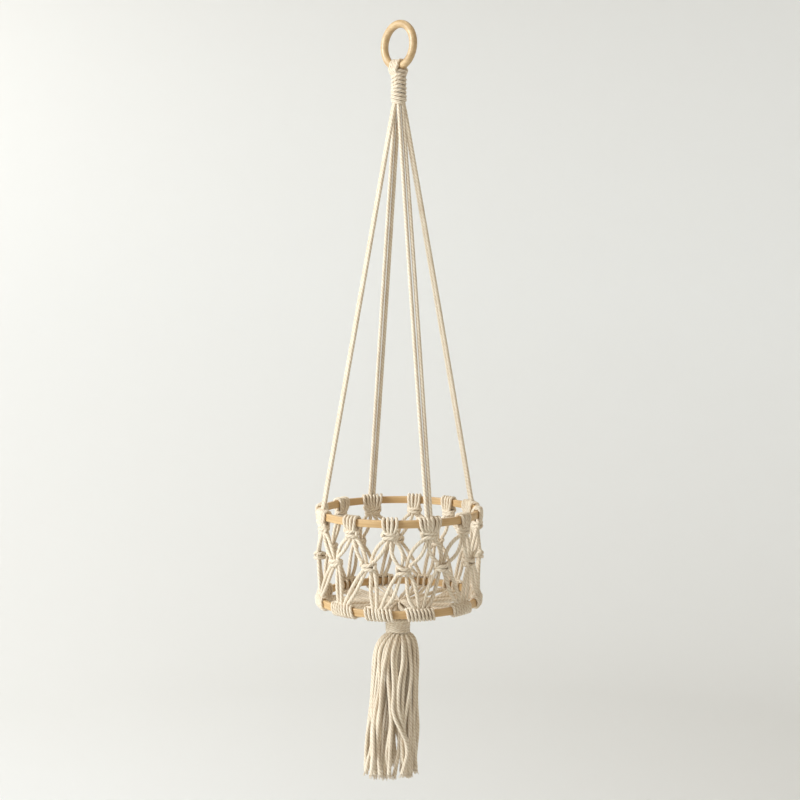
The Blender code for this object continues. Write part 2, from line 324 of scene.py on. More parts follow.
def makeCotton():
    n = Nodes("natural_cotton")
    look = cottonLook
    uv = n.add("UVMap").outputs["UV"]
    # fibres run along the cord, across the lay: turning the UV by 45 degrees gives U + V
    turned = n.add("Mapping", Vector=uv, Rotation=(0, 0, math.radians(-45))).outputs["Vector"]
    diagonal = 1.414
    fibres = n.stretched(turned, look["fibre"] * diagonal, 3.2, 1)
    fibres = n.noise(fibres, Scale=1.0, Detail=3.0, Roughness=0.62)
    yarns = n.noise(n.stretched(turned, look["yarn"] * diagonal, 0.7, 1), Scale=1.0, Detail=1.0)
    patches = n.noise(n.add("TexCoord").outputs["Object"], Scale=60.0, Detail=3.0)
    # how deep a place is between the plies: 0 on a crown, 1 in a groove, where shade is painted into the
    # colour
    u = n.add("SeparateXYZ", Vector=uv).outputs["X"]
    ply = n.maths("FRACT", n.maths("MULTIPLY", u, 3.0))
    depth = n.maths("MULTIPLY", n.maths("ABSOLUTE", n.maths("SUBTRACT", ply, 0.5)), 2.0)
    depth = n.ramp(depth, (0.55, grey(0)), (1.0, grey(1)))
    # fibres and patches bring the cotton's own uneven tone; the grooves get painted shade
    tone = n.weigh(
        (n.ramp(fibres, (0.32, grey(1)), (0.62, grey(0))), look["fibreTone"]),
        (n.ramp(patches, (0.35, grey(1)), (0.7, grey(0))), look["patchTone"]),
        (depth, look["paintedGrooveShade"]),
    )
    colour = n.mix(tone, look["crown"], look["shade"])
    height = n.weigh((fibres, 0.6), (yarns, 0.4))
    return n.complete(
        colour, height, 0.8, look["bump"],
        Roughness=look["roughness"], Sheen_Weight=0.25, Sheen_Roughness=0.6, Specular_IOR_Level=0.2,
    )


def makeBeech(turn):
    # the ring is turned from a board: grain runs straight across it, with short dark pores
    n = Nodes("turned_beech")
    look = beechLook
    place = n.add("TexCoord").outputs["Object"]
    lie = (0, math.radians(look["grainLean"]), math.radians(turn))
    board = n.add("Mapping", Vector=place, Rotation=lie).outputs["Vector"]
    bands = n.noise(n.stretched(board, 30, 240, 240), Scale=1.0, Detail=4.0, Distortion=0.4)
    lines = n.noise(n.stretched(board, 90, 1500, 1500), Scale=1.0, Detail=2.0)
    flecks = n.add("TexVoronoi", Vector=n.stretched(board, 420, 2600, 2600), Scale=1.0).outputs["Distance"]
    flecks = n.ramp(flecks, (0.10, grey(1)), (0.24, grey(0)))
    tone = n.ramp(n.weigh((bands, 0.75), (lines, 0.35)), (0.42, grey(0)), (0.72, grey(1)))
    wood = n.mix(tone, look["pale"], look["dark"])
    wood = n.mix(n.maths("MULTIPLY", flecks, look["poreTone"]), wood, look["pore"])
    height = n.maths("SUBTRACT", n.maths("MULTIPLY", lines, 0.5), n.maths("MULTIPLY", flecks, 0.6))
    rough = n.add("MapRange", Value=bands, i3=look["roughness"] - 0.06, i4=look["roughness"] + 0.08)
    return n.complete(
        wood, height, 0.5, look["bump"],
        Roughness=rough.outputs[0], Coat_Weight=0.35, Coat_Roughness=0.32,
    )


def makeBamboo():
    # U runs across the strip and V round the hoop, both in metres, so the fibres follow the bend
    n = Nodes("split_bamboo")
    look = bambooLook
    uv = n.add("UVMap").outputs["UV"]
    fibres = n.noise(n.stretched(uv, 2600, 22, 1), Scale=1.0, Detail=3.0, Roughness=0.6)
    streaks = n.noise(n.stretched(uv, 420, 7, 1), Scale=1.0, Detail=2.0)
    tone = n.ramp(n.weigh((fibres, 0.6), (streaks, 0.5)), (0.40, grey(0)), (0.74, grey(1)))
    wood = n.mix(tone, look["pale"], look["dark"])
    rough = n.add("MapRange", Value=streaks, i3=look["roughness"] - 0.05, i4=look["roughness"] + 0.1)
    return n.complete(
        wood, fibres, 0.5, look["bump"],
        Roughness=rough.outputs[0], Coat_Weight=0.1, Coat_Roughness=0.3,
    )


ringTurn = -47  # degrees about Z, as the frame's ring is turned
cotton = makeCotton()
beech = makeBeech(-ringTurn)
bamboo = makeBamboo()
print("materials made")


# where things are, from the frame

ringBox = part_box("wooden_ring")
ringTube = ringBox[1].z / 2  # the origin is at the inside top of the ring
ringRadius = (ringBox[1].z - ringBox[0].z) / 2 - ringTube
ringCentre = (ringBox[1].z + ringBox[0].z) / 2
tubeCentre = ringCentre - ringRadius
ringAlong = np.array([math.cos(math.radians(ringTurn)), math.sin(math.radians(ringTurn)), 0])
ringAxis = np.array([-ringAlong[1], ringAlong[0], 0])
upright = np.array([0, 0, 1])

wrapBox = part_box("top_wrap")
upperBox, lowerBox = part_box("upper_hoop"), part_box("lower_hoop")
upperZ, lowerZ = (upperBox[0].z + upperBox[1].z) / 2, (lowerBox[0].z + lowerBox[1].z) / 2
hoopOutside = upperBox[1].x
hoop = {"thick": 5 * mm, "edge": 0.9 * mm, "high": upperBox[1].z - upperBox[0].z}
hoopMiddle = hoopOutside - hoop["thick"] / 2
middleZ = (upperZ + lowerZ) / 2
neckBox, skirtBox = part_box("tassel_neck"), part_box("tassel_skirt")
pivotZ = sum(corner.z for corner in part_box("tassel_root")) / 2
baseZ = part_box("base_web")[1].z - cord["radius"]

# places round the basket, tied by hand and so not quite even; the frame's knots are here too
upperKnots = np.array([-69, -34, -6, 21, 52, 81, 111, 139, 168, 201, 229, 260])
middleKnots = np.array([-50, -21, 3.5, 31, 60, 89, 119, 150, 182, 212, 241, 272])
lowerKnots = np.array([-75, -42, -13.5, 15, 49, 80, 106, 134, 162, 195, 223, 254])
legKnots = {"front_left": 0, "front_right": 3, "back_right": 6, "back_left": 9}
groups = len(lowerKnots)  # of knots on each hoop, four cord ends to a group
endCount = 4 * groups


def roundBasket(angle, local, height):
    # local holds, last, the way along the hoop, the way out from its middle line, and the way up
    a = np.radians(angle) + local[..., 0] / hoopMiddle
    r = hoopMiddle + local[..., 1]
    return np.stack([r * np.sin(a), -r * np.cos(a), height + local[..., 2]], axis=-1)


# wooden ring

def addRing():
    # A torus: the tube's circle is carried round the ring. The tube is a hair flatter inside,
    # where it was turned, and its thickness wanders by one part in a hundred.
    u = 2 * np.pi * np.arange(180)[:, None] / 180
    v = 2 * np.pi * np.arange(40)[None] / 40
    wander = 0.006 * np.sin(3 * u + 1) + 0.005 * np.sin(5 * u)
    tube = ringTube * (1 + wander - 0.02 * np.cos(v) ** 8 * (np.cos(v) < 0))
    out = (ringRadius + tube * np.cos(v))[..., None]
    points = out * (np.cos(u)[..., None] * ringAlong + np.sin(u)[..., None] * upright)
    points = points - (tube * np.sin(v))[..., None] * ringAxis + np.array([0, 0, ringCentre])
    ring = addPiece("ring_wood", gridSurface(points, 1, 6), beech)
    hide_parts("wooden_ring")
    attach(ring, "ring")


# cords folded over the ring

loops = {
    "spacing": 3.7 * mm,  # from one cord to the next
    "slid": -1.3 * mm,  # the four have slid a little to the left round the ring
    "radius": 2.15 * mm,
    "footDepth": 19 * mm,  # how far the ends run down inside the wrap
}


def addLoops():
    # Each cord comes up out of the wrap, goes round the tube at tube + cord radius, and goes down
    # again: an arc of 196 degrees with two feet that close in.
    along = loops["slid"] + loops["spacing"] * (np.arange(4) - 1.5)
    rise = ringRadius - np.sqrt(ringRadius**2 - along**2)
    arc = np.radians(np.linspace(-98, 98, 9))
    out = ringTube + loops["radius"] * 0.98
    depth = loops["footDepth"]
    foot = [(0.62, -0.27, -1.0), (0.72, -0.55, -0.62), (0.88, -0.95, -0.28)]
    local = [(s, side * depth * 0.5, down * depth) for s, side, down in foot]
    local += [(1, out * math.sin(a), out * math.cos(a)) for a in arc]
    local += [(s, -side * depth * 0.5, down * depth) for s, side, down in foot[::-1]]
    local = np.array(local)
    points = along[:, None, None] * local[None, :, :1] * ringAlong
    points = points + local[None, :, 1:2] * ringAxis
    lift = (local[:, 2] > -out)[None] * rise[:, None]
    points = points + (tubeCentre + local[None, :, 2] + lift)[..., None] * upright
    lines = smoothLine(points)
    low = smoothstep(tubeCentre - 4 * mm, tubeCentre - 13 * mm, lines[..., 2])
    surface = cordSurface(lines, loops["radius"] * (1 - 0.2 * low), dice.uniform(0, 6, 4))
    piece = addCords("loop_cords", [surface])
    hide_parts("hanger_loop")
    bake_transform(piece)


# the gathering wrap

wrap = {
    "turns": 8.8,
    "outside": 9.7 * mm,
    "droop": (3.4 * mm, -2.0 * mm),  # how much lower a turn lies on the left, at the top and the bottom
}


def addWrap():
    # A helix: the cord's middle is one cord radius inside the wrap's outside. The turns lie lower
    # on the left at the top, and higher there at the bottom. The first is tucked in at its start,
    # and the last at its end.
    top, bottom = wrapBox[1].z - cord["tight"], wrapBox[0].z + cord["tight"]
    t = np.linspace(0, 1, int(wrap["turns"] * 48))
    a = 2 * np.pi * wrap["turns"] * t + 0.9
    tucked = 1 - smoothstep(0, 0.08, t)
    around = wrap["outside"] - cord["tight"] + 0.3 * mm * np.sin(2.3 * a) * np.sin(9 * t)
    around = around - 3.0 * mm * tucked - 2.5 * mm * smoothstep(0.98, 1, t)
    droop = wrap["droop"][0] + (wrap["droop"][1] - wrap["droop"][0]) * smoothstep(0.35, 1, t)
    z = top + (bottom - top) * t - droop * smoothstep(-0.1, 1, -np.cos(a)) * smoothstep(0.02, 0.1, t)
    z = z + 0.35 * mm * np.sin(a + 7 * t) + 0.6 * mm * tucked
    line = np.stack([around * np.cos(a), around * np.sin(a), z], axis=-1)[None]
    piece = addCords("top_winding", [cordSurface(evenly(line), cord["tight"])])
    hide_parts("top_wrap")
    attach(piece, "gathering")


# the four legs, two cords each

legs = {
    "offset": 2.55 * mm,  # half the distance between the two cords of a leg
    "topRadius": 6.2 * mm,
    "topZ": wrapBox[0].z - 0.5 * mm,
    "endZ": upperBox[1].z + 5.4 * mm,
    # over the hoop and down its outside, into the knot: along the hoop, outwards, up
    "over": np.array([
        (2.5, 3.4, 6.2), (2.5, 4.7, 2.5), (2.3, 4.9, -2), (1.8, 4.2, -6.5), (1.2, 2.6, -10),
    ]) * mm,
}


def addLegs():
    for leg, knot in legKnots.items():
        angle = upperKnots[knot]
        for number, side in ((1, -1), (2, 1)):
            a = math.radians(angle)
            out, along = np.array([math.sin(a), -math.cos(a), 0]), np.array([math.cos(a), math.sin(a), 0])
            start = out * legs["topRadius"] + along * side * legs["offset"] + upright * legs["topZ"]
            end = out * hoopMiddle + along * side * legs["offset"] + upright * legs["endZ"]
            inside = out * 4.2 * mm + along * side * 1.9 * mm + upright * (legs["topZ"] + 13 * mm)
            share = np.linspace(0, 1, 14)[:, None]
            bow = np.sin(np.pi * share) * (along * side * 0.5 * mm + out * dice.uniform(-0.5, 0.5) * mm)
            straight = start + (end - start) * share + bow
            over = roundBasket(angle, legs["over"] * (side, 1, 1), upperZ)
            points = np.concatenate([[inside], straight, over])
            line = smoothLine(points[None])
            thin = smoothstep(legs["topZ"] - 8 * mm, legs["topZ"] + 2 * mm, line[..., 2])
            surface = cordSurface(line, cord["radius"] * (1 - 0.12 * thin), dice.uniform(0, 6, 1))
            piece = addCords(f"leg_cord_{leg}_{number}", [surface])
            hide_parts(f"leg_{leg}_{number}")
            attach(piece, "upper_basket")


# bamboo hoops

def addHoop(name, node, height, body, seed):
    # The strip's section, a rectangle with round edges, carried round the basket. The strip was
    # split by hand: its faces wander by a few tenths of a millimetre.
    steps = 300
    corner, edge = np.array([hoop["thick"], hoop["high"]]) / 2, hoop["edge"]
    quarter = np.radians(np.linspace(0, 90, 5))
    section = []
    for turn, (sx, sy) in enumerate(((1, 1), (-1, 1), (-1, -1), (1, -1))):
        a = quarter + math.radians(90) * turn
        centre = np.array([sx, sy]) * (corner - edge)
        section.append(centre + edge * np.stack([np.cos(a), np.sin(a)], axis=-1))
    section = np.concatenate(section)
    around = 2 * np.pi * np.arange(steps)[:, None] / steps
    waves = dice.uniform(0, 6.28, 6)
    wander = sum(np.sin(k * around + waves[k]) / (k + 1) for k in range(2, 6)) * 0.22 * mm
    r = hoopMiddle + section[None, :, 0] * (1 + 0.04 * np.sin(7 * around + seed)) + wander * 0.5
    z = height + section[None, :, 1] * (1 + 0.02 * np.sin(5 * around + seed)) + wander * 0.6
    points = np.stack([r * np.sin(around), -r * np.cos(around), z], axis=-1)
    girth = 2 * (hoop["thick"] + hoop["high"])
    surface = gridSurface(points, girth, 2 * np.pi * hoopMiddle)
    piece = addPiece(name, surface, bamboo)
    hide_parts(node)
    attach(piece, body)


# square knots

def squareKnotLines(r, topZ, pitch, wide=1.0):
    # The two working cords of a square knot, in cord radii: one makes both bars in front, left to
    # right and back; the other makes both bars behind and folds over the first at each side.
    z1, z2 = 0.0, -pitch / r
    half = (z1 + z2) / 2
    front = [
        (-1.3, 0.3, z1 + 2.4), (-2.6, 0.8, z1 + 1.1), (-1.5, 1.8, z1 + 0.25), (0, 2.05, z1 - 0.05),
        (1.5, 1.8, z1 - 0.1), (2.6, 0.7, z1 - 0.5), (2.9, -0.2, half), (2.6, 0.8, z2 + 0.5),
        (1.5, 1.8, z2 + 0.1), (0, 2.05, z2), (-1.5, 1.75, z2 - 0.2), (-2.5, 0.7, z2 - 0.7),
        (-2.1, -0.1, z2 - 2.2),
    ]
    behind = [
        (1.3, -0.1, z1 + 2.4), (2.7, 0.9, z1 + 1.4), (3.2, 1.2, z1 + 0.2), (2.8, -0.6, z1 - 0.7),
        (1.2, -1.9, z1 - 0.3), (-1.2, -1.9, z1), (-2.8, -0.8, z1 + 0.2), (-3.2, 0.7, z1 - 0.5),
        (-3.1, 0.9, half - 0.4), (-2.7, -0.8, z2 - 0.1), (-1.2, -1.9, z2), (1.2, -1.9, z2 + 0.1),
        (2.8, -0.7, z2), (2.8, 0.6, z2 - 0.8), (2.1, 0.1, z2 - 2.2),
    ]
    lines = []
    for points in (front, behind):
        points = np.array(points) * r * (wide, 1, 1)
        points[:, 2] += topZ
        lines.append(points)
    return lines


def tilted(points, turn, bend):
    # Turned in its own face by a small angle, with its middle pulled down in a shallow curve.
    points = points.copy()
    x, z = points[..., 0].copy(), points[..., 2].copy()
    points[..., 0] = x * math.cos(turn) - z * math.sin(turn)
    points[..., 2] = x * math.sin(turn) + z * math.cos(turn) + bend * x * x
    return points


# loops and knots on the upper hoop

arrival = np.array([2.6, 7.4]) * mm  # how far from a lower knot's middle its cords come down to it

upperTie = {
    "pitch": 4.85 * mm,  # from one loop to the next
    "radius": 1.95 * mm,  # of the cord in the loops, pulled thin
    "knotRadius": 2.28 * mm,
    "plain": 4,  # loops in a tie
    "leg": 6,  # loops in a tie that takes a leg
    "knotTop": -11.3 * mm,  # the knot's first bar, under the strip's middle
    "bar": 4.5 * mm,  # from the first bar to the second
    "lean": 1.5 * mm,  # how far the loops may slant across the strip
}


def addUpperKnots():
    # Each loop is an arch over the strip: up in front, over the top and down behind, its feet
    # drawn together into the square knot below.
    r, knotRadius = upperTie["radius"], upperTie["knotRadius"]
    out, top = hoop["thick"] / 2 + r, hoop["high"] / 2 + r
    arch = np.array([
        (0.42, 0.45 * out, -top - 5.4 * mm), (0.66, 0.85 * out, -top - 2.2 * mm),
        (0.88, 1.03 * out, -top * 0.62), (0.98, 1.02 * out, 0), (1, 0.96 * out, top * 0.62),
        (1, 0.55 * out, top * 0.96), (1, 0, top * 1.03),
    ])
    arch = np.concatenate([arch, arch[-2::-1] * (1, -1, 1)])
    for i, angle in enumerate(upperKnots):
        count = upperTie["leg"] if i in legKnots.values() else upperTie["plain"]
        offsets = upperTie["pitch"] * (np.arange(count) - (count - 1) / 2)
        offsets = offsets + dice.uniform(-0.5, 0.5, count) * mm
        points = np.repeat(arch[None], count, axis=0)
        slant = dice.uniform(-1, 1) * upperTie["lean"]
        lean = slant + dice.uniform(-0.6, 0.6, (count, 1)) * mm
        lean = lean * np.sin(np.pi * np.linspace(-1, 1, len(arch)))
        points[..., 0] = points[..., 0] * offsets[:, None] + lean
        points[..., 1] *= 1 + 0.1 * dice.uniform(0, 1, (count, 1))
        surfaces = [cordSurface(smoothLine(roundBasket(angle, points, upperZ)), r, dice.uniform(0, 6, count))]
        wide = dice.uniform(1.3, 1.45) if count == upperTie["leg"] else dice.uniform(1.0, 1.2)
        turn, bend = dice.uniform(-0.14, 0.14), dice.uniform(4, 16)
        knots = squareKnotLines(knotRadius, 0, upperTie["bar"], wide)
        if i % 3 == 1:
            knots = [line * (-1, 1, 1) for line in knots]
        for line in knots:
            line = tilted(line, turn, bend) + (-slant * 0.6, 0, upperTie["knotTop"])
            line = smoothLine(roundBasket(angle, line, upperZ)[None])
            surfaces.append(cordSurface(line, knotRadius, dice.uniform(0, 6, 1)))
        piece = addCords(f"upper_tie_{i + 1:02d}", surfaces)
        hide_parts(f"upper_knot_{i + 1:02d}")
        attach(piece, "upper_basket")


# the net between the hoops

net = {
    "topZ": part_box("upper_knot_01")[0].z + 2.0 * mm,
    "bottomZ": lowerBox[1].z + 1.6 * mm,
    "bar": 4.9 * mm,  # from a knot's first bar to its second
    "size": 1.2,  # the knots are looser than the ones above
    # how far the two cords of an arm bow apart, above and below the knot
    "coreBow": np.array([5.6, 3.4]) * mm,
    "tyingBow": np.array([-3.8, -2.8]) * mm,
    "open": (0.7, 0.6, 1.0, 1.35, 1.25, 1.0, 0.8, 1.0, 0.7, 0.9, 0.8, 0.6),  # how slack each panel is
}


def arm(start, end, side, bow, late):
    # Points from start to end, pushed towards the panel's middle by bow * sin(pi * share ^ late).
    share = np.linspace(0, 1, 6)[1:-1, None]
    run = end - start
    inwards = -side * np.array([-run[2], 0, run[0]]) / math.hypot(run[0], run[2])
    return start + run * share + inwards * bow * np.sin(np.pi * share**late)


def addNet():
    # Four cords to a panel. The outer two tie a square knot round the inner two; above it they
    # come from two upper knots, and below it they go to two lower ones.
    r = cord["tight"]
    high, low = net["topZ"] - middleZ, net["bottomZ"] - middleZ
    for i, angle in enumerate(middleKnots):
        after = (i + 1) % groups
        ends = [(k[j] - angle + 180) % 360 - 180 for k in (upperKnots, lowerKnots) for j in (i, after)]
        ends = np.radians(ends) * hoopMiddle
        size = net["size"] * dice.uniform(0.95, 1.08)
        turn, bend, shift = dice.uniform(-0.16, 0.16), dice.uniform(2, 14), dice.uniform(-2, 2) * mm
        front, behind = squareKnotLines(r * size, net["bar"] / 2, net["bar"])
        if i % 2:
            front, behind = front * (-1, 1, 1), behind * (-1, 1, 1)
        front, behind = (tilted(line[1:-1], turn, bend) + (0, 0, shift) for line in (front, behind))
        core = np.array([(1.2, 0.1, 1.9), (0.95, 0, 0), (1.2, 0.1, -1.9)]) * r + (0, 0, shift)
        cores = [core * (-1, 1, 1), core]
        lines = []
        for middle, core in ((front, False), (behind, False), (cores[0], True), (cores[1], True)):
            side = -1 if middle[0, 0] < 0 else 1
            upper, lower = (ends[0], ends[2]) if side < 0 else (ends[1], ends[3])
            near, far = (5.8 * mm, arrival[1]) if core else (1.9 * mm, arrival[0])
            head, foot = upper - side * near, lower - side * far
            start = np.array([(head + side * near * 0.25, 0, high + 5 * mm), (head, 0, high - 1 * mm)])
            stop = np.array([(foot, 0.8 * mm, low + 2 * mm), (foot, 0.4 * mm, low + 0.4 * mm)])
            bows = net["coreBow" if core else "tyingBow"] * dice.uniform(0.55, 1.1, 2) * net["open"][i]
            down = arm(start[1], middle[0], side, bows[0], 1.0)
            away = arm(middle[-1], stop[0], side, bows[1], 1.5 if core else 0.75)
            lines.append(np.concatenate([start, down, middle, away, stop]))
        surfaces = []
        for line, core in zip(lines, (False, False, True, True)):
            path = smoothLine(roundBasket(angle, line, middleZ)[None])
            tied = smoothstep(14 * mm, 5 * mm, np.abs(path[..., 2] - middleZ))
            slim = cord["radius"] * (1 - 0.04 * tied - 0.16 * tied * core)
            surfaces.append(cordSurface(path, slim, dice.uniform(0, 6, 1)))
        piece = addCords(f"net_cords_{i + 1:02d}", surfaces)
        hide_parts(f"net_panel_{i + 1:02d}")
        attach(piece, "upper_basket")
        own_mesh(piece)


# the 48 cord ends: hitched to the lower hoop, in to the middle, down, and out in the tassel

ends = {
    "pitch": 4.15 * mm,  # between two turns on the hoop
    "meet": 12 * mm,  # where the cords turn down in the middle of the base
    "neck": (3.2 * mm, 7.0 * mm, 10.4 * mm),  # the three rings that they lie in, inside the neck
    "lean": (-2.5 * mm, -8 * mm),  # the tassel hangs a little to the left, soon and at its tip
    "wave": 3.9 * mm,  # how far a cord may wind off its straight way down
    "stray": 5 * mm,  # how far a cord may drift round the tassel by its tip
    "fibres": 20,  # loose at each cut end
}
# the tassel's outline as depth below the neck and radius to the cords' middles
tasselOutline = np.array([
    (0, 10.4), (3, 13.4), (9, 18.6), (19, 22.8), (35, 25.4), (57, 26.2), (90, 27.6), (124, 29.4),
    (161, 31.0), (176, 31.1),
]) * mm


def hitchLines():
    # Round the strip the path is a superellipse, |y/A|^2.8 + |z/B|^2.8 = 1, taken from the top down
    # the outside and about 1.6 times round, while it moves along the hoop one pitch a turn,
    # faster outside, where the turns slant. Before that it runs along the top from its net cord.
    a = np.radians(np.linspace(100, -478, 40))
    out, high = hoop["thick"] / 2 + cord["tight"], hoop["high"] / 2 + cord["tight"]
    power = 2 / 2.8
    y = out * np.sign(np.cos(a)) * np.abs(np.cos(a)) ** power
    z = high * np.sign(np.sin(a)) * np.abs(np.sin(a)) ** power
    x = ends["pitch"] * (-np.degrees(a) / 360 - 0.5)
    middles = 2 * ends["pitch"] * (np.arange(4) - 1.5)
    local = np.zeros((groups, 4, len(a) + 2, 3))
    jitter = dice.uniform(-0.4, 0.4, (groups, 4, 1)) * mm
    slant = dice.uniform(0.7, 1.5, (groups, 1, 1)) * mm + dice.uniform(-0.3, 0.3, (groups, 4, 1)) * mm
    curve = dice.uniform(-0.7, 0.7, (groups, 1, 1)) * mm * np.cos(a) * (np.cos(a) > 0)
    local[..., 2:, 0] = middles[:, None] + x + jitter - slant * np.sin(a) + curve
    local[..., 2:, 1], local[..., 2:, 2] = y * (1 + 0.06 * np.sin(9 * a + 3 * middles[:, None] / mm)), z
    come = np.array([-arrival[1], -arrival[0], arrival[0], arrival[1]])
    local[..., 0, 0], local[..., 1, 0] = come, 0.5 * (come + local[..., 2, 0])
    local[..., 0, 1], local[..., 1, 1] = 0.6 * mm, 0.3 * mm
    local[..., 0, 2], local[..., 1, 2] = high + 1.6 * mm, high + 0.9 * mm
    return roundBasket(lowerKnots[:, None, None], local, lowerZ).reshape(endCount, len(a) + 2, 3)


def endLines():
    hitched = hitchLines()
    layer = np.arange(endCount) % 3
    even = np.radians(lowerKnots[0] + 7.5 * (np.arange(endCount) - 1.5))
    rim = hitched[:, -1]
    rimRadius = np.hypot(rim[:, 0], rim[:, 1])
    rimAngle = np.unwrap(np.arctan2(rim[:, 0], -rim[:, 1]))
    rimAngle = rimAngle + 2 * np.pi * np.round((even - rimAngle) / (2 * np.pi))
    neck = np.array(ends["neck"])[layer]
    meet = ends["meet"] - (2 - layer) * 2.6 * mm
    # in across the base: the cords close up, so they pass into three layers near the middle
    share = np.linspace(0.06, 1, 12)
    r = rimRadius[:, None] + (meet - rimRadius)[:, None] * share
    angle = rimAngle[:, None] + (even - rimAngle)[:, None] * share
    wave = dice.uniform(0, 6.28, (endCount, 2))
    angle = angle + 2.2 * mm * np.sin(5 * share + wave[:, :1]) * np.sin(np.pi * share) / r
    drop = 2.0 * smoothstep(92 * mm, 70 * mm, r) + 0.8 * smoothstep(40 * mm, 20 * mm, r)
    drop = layer[:, None] * mm * drop + 1.0 * mm * smoothstep(92 * mm, 20 * mm, r)
    sag = (0.8 + 0.8 * np.sin(wave[:, 1:])) * mm * np.sin(np.pi * share) ** 2
    lift = 1.0 * mm * (1 - smoothstep(0, 0.25, share))
    base = np.stack([r * np.sin(angle), -r * np.cos(angle), baseZ - drop - sag - lift], axis=-1)
    # down through the neck
    neckTop, neckBottom = neckBox[1].z, neckBox[0].z
    depth = [pivotZ + 1.5 * mm, pivotZ - 4 * mm, neckTop - 1 * mm, neckTop - 8 * mm, neckBottom + 6 * mm]
    narrow = neck[:, None] + (meet - neck)[:, None] * np.array([0.8, 0.45, 0.15, 0, 0])
    depth = np.broadcast_to(depth, narrow.shape)
    down = np.stack([narrow * np.sin(even)[:, None], -narrow * np.cos(even)[:, None], depth], axis=-1)
    # out and down in the tassel: 16 inner cords and 32 outer ones, evenly round
    outer = layer > 0
    rank = np.cumsum(outer) - 1
    spread = np.where(outer, even[0] + np.radians(11.25) * rank, even)
    shorter = outer * (2 + np.cos(spread)) - dice.uniform(-2.5, 1, endCount)
    length = neckBottom - skirtBox[0].z - shorter * mm
    fall = np.linspace(0, 1, 15) ** 1.15
    deep = fall * length[:, None]
    reach = np.interp(deep, tasselOutline[:, 0], tasselOutline[:, 1])
    held = smoothstep(0, 12 * mm, deep)
    deepInside = (np.arange(endCount) // 3 % 2 == 1) & (np.cos(even) < 0.3)
    inner = np.where(deepInside, 0.32, 0.62)[:, None]
    stagger = np.where(layer == 2, 1.0, -1.1)[:, None] * mm * (1.7 - smoothstep(20 * mm, 120 * mm, deep))
    inner = inner * (1 + 0.22 * smoothstep(80 * mm, 140 * mm, deep))
    reach = np.where(outer[:, None], reach + stagger * held, reach * inner + neck[:, None] * (1 - held) * 0.4)
    reach = neck[:, None] + (reach - neck[:, None]) * smoothstep(-1 * mm, 5 * mm, deep)
    phase = dice.uniform(0, 6.28, (endCount, 4))
    amount = ends["wave"] * (0.6 * smoothstep(0, 40 * mm, deep) + 0.5 * smoothstep(85 * mm, 130 * mm, deep))
    sway = np.sin(deep / (15 * mm) + phase[:, :1]) * 0.45 + np.sin(deep / (27 * mm) + phase[:, 1:2]) * 0.8
    puff = np.sin(deep / (17 * mm) + phase[:, 2:3]) * 0.35 + np.sin(deep / (31 * mm) + phase[:, 3:]) * 0.5
    drift = dice.uniform(-1, 1, (endCount, 1)) * ends["stray"] * smoothstep(45 * mm, 160 * mm, deep)
    degrees = (np.degrees(spread)[:, None] + 180) % 360 - 180
    # two strands of cords lie across the others, in front and at the left
    across = outer[:, None] * smoothstep(84 * mm, 150 * mm, deep)
    for middle, far in ((0, 23 * mm), (-62, 14 * mm)):
        strand = np.exp(-(((degrees - middle) / 17) ** 4)) * across
        drift = drift * (1 - strand) + far * strand
        reach = reach + 3.6 * mm * strand
    clumps = 0.07 * np.sin(6 * spread[:, None] + 1 + deep / (60 * mm)) * smoothstep(10 * mm, 100 * mm, deep)
    turned = even[:, None] + (spread - even)[:, None] * held + clumps
    turned = turned + (amount * sway + drift) / np.maximum(reach, 8 * mm)
    reach = reach + amount * puff * 0.6
    lean = ends["lean"][0] * smoothstep(0, 25 * mm, deep) + ends["lean"][1] * smoothstep(0, 190 * mm, deep)
    tassel = np.stack([reach * np.sin(turned) + lean, -reach * np.cos(turned), neckBottom - deep], axis=-1)
    return smoothLine(np.concatenate([hitched, base, down, tassel], axis=1)), outer


def addTips(lines):
    # Loose fibres past each cut: thin tubes that leave the last points of a cord and open out.
    count = ends["fibres"]
    tip = np.repeat(lines[:, -1], count, axis=0)
    along = np.repeat(unit(lines[:, -1] - lines[:, -5]), count, axis=0)
    angle = dice.uniform(0, 2 * np.pi, len(tip))
    apart = np.sqrt(dice.uniform(0, 1, len(tip)))[:, None]
    side = np.stack([np.cos(angle), np.sin(angle), 0 * angle], axis=-1) * apart
    reach = dice.uniform(2.5, 6.0, (len(tip), 1)) * mm
    share = np.linspace(0, 1, 4)[None, :, None]
    start = tip - along * 4 * mm + side * 2.2 * mm
    fibres = start[:, None] + (along * (reach + 4 * mm))[:, None] * share
    fibres = fibres + side[:, None] * 1.6 * mm * share**2
    fibres = fibres + dice.uniform(-0.5, 0.5, fibres.shape) * mm * share
    piece = addCords("tassel_frayed_tips", [cordSurface(smoothLine(fibres), 0.28 * mm, sides=5)])
    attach(piece, "tassel")


